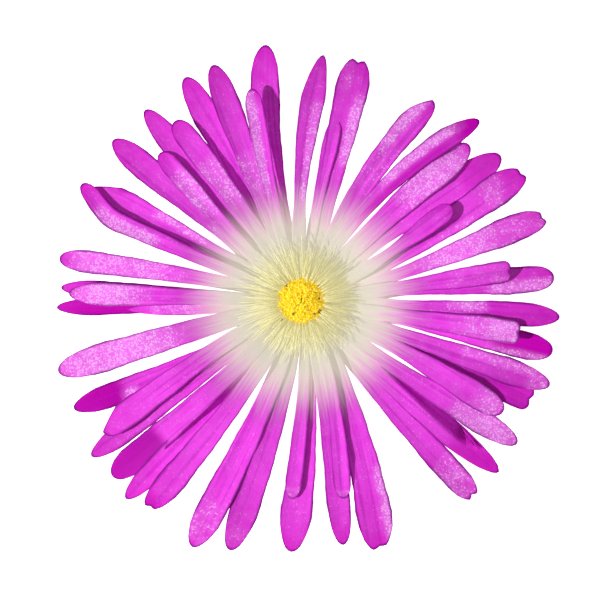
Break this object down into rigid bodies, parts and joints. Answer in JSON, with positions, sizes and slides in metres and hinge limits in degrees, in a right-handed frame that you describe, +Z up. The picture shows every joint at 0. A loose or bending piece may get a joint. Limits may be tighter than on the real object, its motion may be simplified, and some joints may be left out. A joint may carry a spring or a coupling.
{
  "type": "ice plant flower",
  "caption": "Picked ice plant flower head lying face up: strap petals in overlapping whorls round a ring of pale threads and a cushion of anthers, on a short calyx.",
  "frame": {"origin": "middle of the flat break under the flower's foot, where it rests", "axes": "+Z up along the flower's axis, out of its face; +X to the right and +Y to the top of the face as pictured"},
  "size_m": [0.0504, 0.051, 0.0122],
  "materials": {
    "calyx": "fleshy green skin, faintly glossy",
    "petal": "satin magenta with a fine glitter, white towards the claw",
    "staminode": "pale cream threads, matte",
    "anther": "powdery yellow pollen",
    "stigma": "greenish yellow, matte"
  },
  "bodies": {
    "root": {"calyx": "calyx", "petals": "petal", "staminodes": "staminode", "stamens": "anther", "stigmas": "stigma"}
  },
  "joints": []
}
